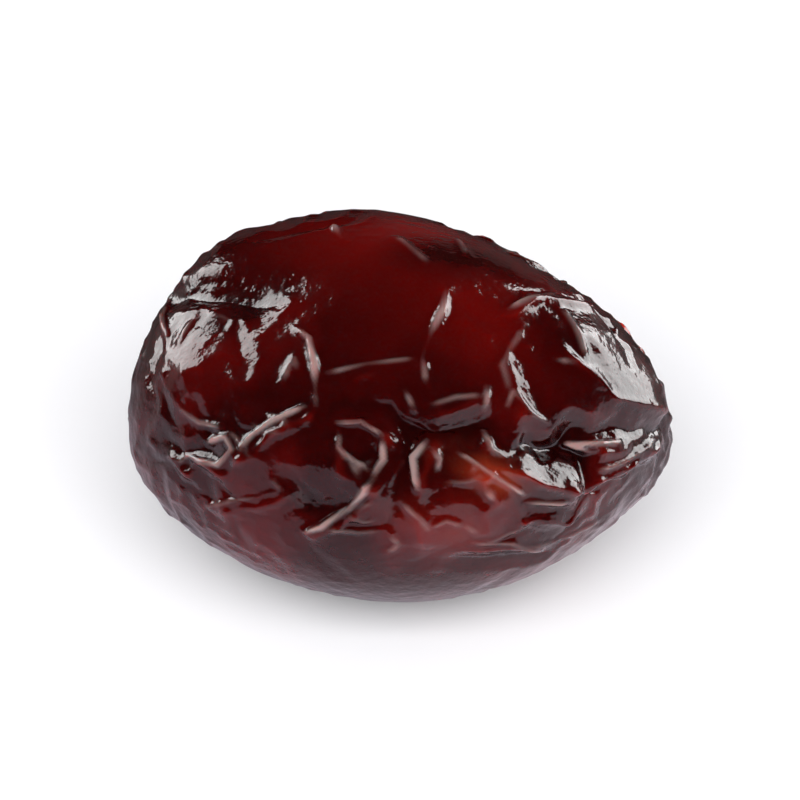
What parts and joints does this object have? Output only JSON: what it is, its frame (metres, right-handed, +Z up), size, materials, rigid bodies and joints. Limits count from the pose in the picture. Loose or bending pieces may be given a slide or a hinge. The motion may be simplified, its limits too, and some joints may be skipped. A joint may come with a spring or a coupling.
{
  "type": "dried cranberry",
  "caption": "Whole dried cranberry: a dark red oval fruit with glossy, deeply wrinkled skin, resting on its belly.",
  "frame": {"origin": "centre of the fruit's footprint, on the surface it rests on", "axes": "+Z up; +X along the fruit's length, from the stem end to the blossom end; -Y the front, which the picture shows"},
  "size_m": [0.014, 0.0116, 0.0089],
  "materials": {
    "skin": "sticky, glossy, translucent dark red fruit skin with sharp wrinkles"
  },
  "bodies": {
    "root": {"cranberry": "skin"}
  },
  "joints": []
}
